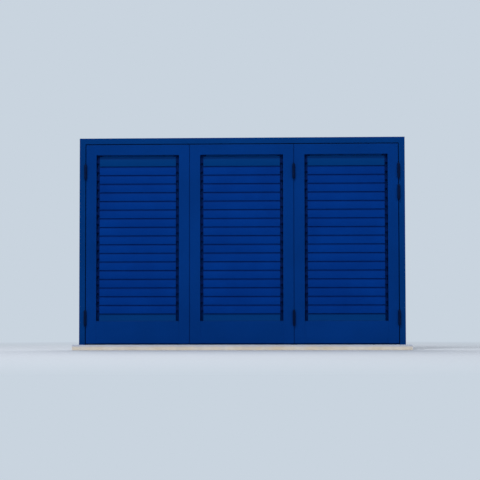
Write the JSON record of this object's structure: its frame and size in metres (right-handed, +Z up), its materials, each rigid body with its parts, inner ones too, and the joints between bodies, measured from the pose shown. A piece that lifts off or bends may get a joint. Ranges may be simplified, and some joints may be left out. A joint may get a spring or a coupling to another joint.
{
  "type": "window with louvred shutters",
  "caption": "Wide casement window in a reveal lining on a stone sill, closed by folding louvred shutters that swing outwards.",
  "frame": {"origin": "on the sill's underside, midway along it, below the front face of the shutters and their frame", "axes": "+X to the right seen from outside, +Y inwards from the facade, +Z up"},
  "size_m": [2.18, 0.344, 1.37],
  "materials": {
    "frame_blue": "satin powder coat, strong blue",
    "slat_blue": "satin powder coat, strong blue",
    "black_metal": "satin black coat on steel",
    "black_plastic": "moulded, matt black",
    "stone": "honed pale limestone",
    "lining_white": "matt white paint",
    "window_white": "smooth white profile, soft gloss",
    "window_metal": "satin anodised",
    "glass": "clear double glazing",
    "rubber_seal": "black weather strip"
  },
  "bodies": {
    "frame": {"sill": "stone", "shutter_frame_left_jamb": "frame_blue", "shutter_frame_right_jamb": "frame_blue", "shutter_frame_head": "frame_blue", "shutter_frame_stops": "frame_blue", "shutter_stop_bar": "frame_blue", "shutter_frame_seals": "rubber_seal", "left_jamb_hinge_halves": "black_metal", "right_jamb_hinge_halves": "black_metal", "jamb_hinge_pins": "black_metal", "lock_keepers": "black_metal", "lining_left": "lining_white", "lining_right": "lining_white", "lining_head": "lining_white", "window_frame": "window_white", "window_mullion": "window_white", "window_seals": "rubber_seal", "window_hinge_frame_halves": "window_metal"},
    "left_leaf": {"left_leaf_left_stile": "frame_blue", "left_leaf_right_stile": "frame_blue", "left_leaf_top_rail": "frame_blue", "left_leaf_bottom_rail": "frame_blue", "left_leaf_slats": "slat_blue", "left_leaf_slat_racks": "black_plastic", "left_leaf_hinge_halves": "black_metal", "left_leaf_bolt_guides": "black_metal"},
    "left_leaf_top_bolt": {"left_leaf_top_bolt": "black_metal"},
    "left_leaf_bottom_bolt": {"left_leaf_bottom_bolt": "black_metal"},
    "right_leaf": {"right_leaf_left_stile": "frame_blue", "right_leaf_right_stile": "frame_blue", "right_leaf_top_rail": "frame_blue", "right_leaf_bottom_rail": "frame_blue", "right_leaf_slats": "slat_blue", "right_leaf_slat_racks": "black_plastic", "right_leaf_hinge_halves": "black_metal", "right_leaf_fold_hinge_halves": "black_metal", "fold_hinge_pins": "black_metal"},
    "middle_leaf": {"middle_leaf_left_stile": "frame_blue", "middle_leaf_right_stile": "frame_blue", "middle_leaf_top_rail": "frame_blue", "middle_leaf_bottom_rail": "frame_blue", "middle_leaf_slats": "slat_blue", "middle_leaf_slat_racks": "black_plastic", "middle_leaf_fold_hinge_halves": "black_metal", "lock_rod_guides": "black_metal"},
    "lock": {"lock_rod": "black_metal", "lock_hooks": "black_metal", "lock_lever": "black_metal"},
    "left_sash": {"left_sash_frame": "window_white", "left_sash_glass": "glass", "left_sash_beads": "window_white", "left_sash_hinge_halves": "window_metal", "left_handle_rosette": "window_metal"},
    "left_handle": {"left_handle_lever": "window_metal"},
    "right_sash": {"right_sash_frame": "window_white", "right_sash_glass": "glass", "right_sash_beads": "window_white", "right_sash_hinge_halves": "window_metal", "right_handle_rosette": "window_metal"},
    "right_handle": {"right_handle_lever": "window_metal"}
  },
  "joints": [
    {"name": "left_leaf_swing", "type": "hinge", "parent": "frame", "child": "left_leaf", "pos_m": [-1.0095, -0.01, 0.7025], "axis": [0, 0, -1], "range_deg": [0, 180]},
    {"name": "right_leaf_swing", "type": "hinge", "parent": "frame", "child": "right_leaf", "pos_m": [1.0095, -0.01, 0.7025], "axis": [0, 0, 1], "range_deg": [0, 180]},
    {"name": "middle_leaf_fold", "type": "hinge", "parent": "right_leaf", "child": "middle_leaf", "pos_m": [0.3365, -0.01, 0.7025], "axis": [0, 0, -1], "range_deg": [-180, 0]},
    {"name": "lock_turn", "type": "hinge", "parent": "middle_leaf", "child": "lock", "pos_m": [-0.3, 0.066, 0.7], "axis": [0, 0, 1], "range_deg": [0, 90]},
    {"name": "top_bolt_slide", "type": "slide", "parent": "left_leaf", "child": "left_leaf_top_bolt", "axis": [0, 0, 1], "range_m": [0, 0.022]},
    {"name": "bottom_bolt_slide", "type": "slide", "parent": "left_leaf", "child": "left_leaf_bottom_bolt", "axis": [0, 0, -1], "range_m": [0, 0.017]},
    {"name": "left_sash_swing", "type": "hinge", "parent": "frame", "child": "left_sash", "pos_m": [-0.993, 0.259, 0.6925], "axis": [0, 0, 1], "range_deg": [0, 90]},
    {"name": "right_sash_swing", "type": "hinge", "parent": "frame", "child": "right_sash", "pos_m": [0.993, 0.259, 0.6925], "axis": [0, 0, -1], "range_deg": [0, 90]},
    {"name": "left_handle_turn", "type": "hinge", "parent": "left_sash", "child": "left_handle", "pos_m": [-0.047, 0.266, 0.6925], "axis": [0, 1, 0], "range_deg": [0, 90]},
    {"name": "right_handle_turn", "type": "hinge", "parent": "right_sash", "child": "right_handle", "pos_m": [0.047, 0.266, 0.6925], "axis": [0, -1, 0], "range_deg": [0, 90]}
  ]
}
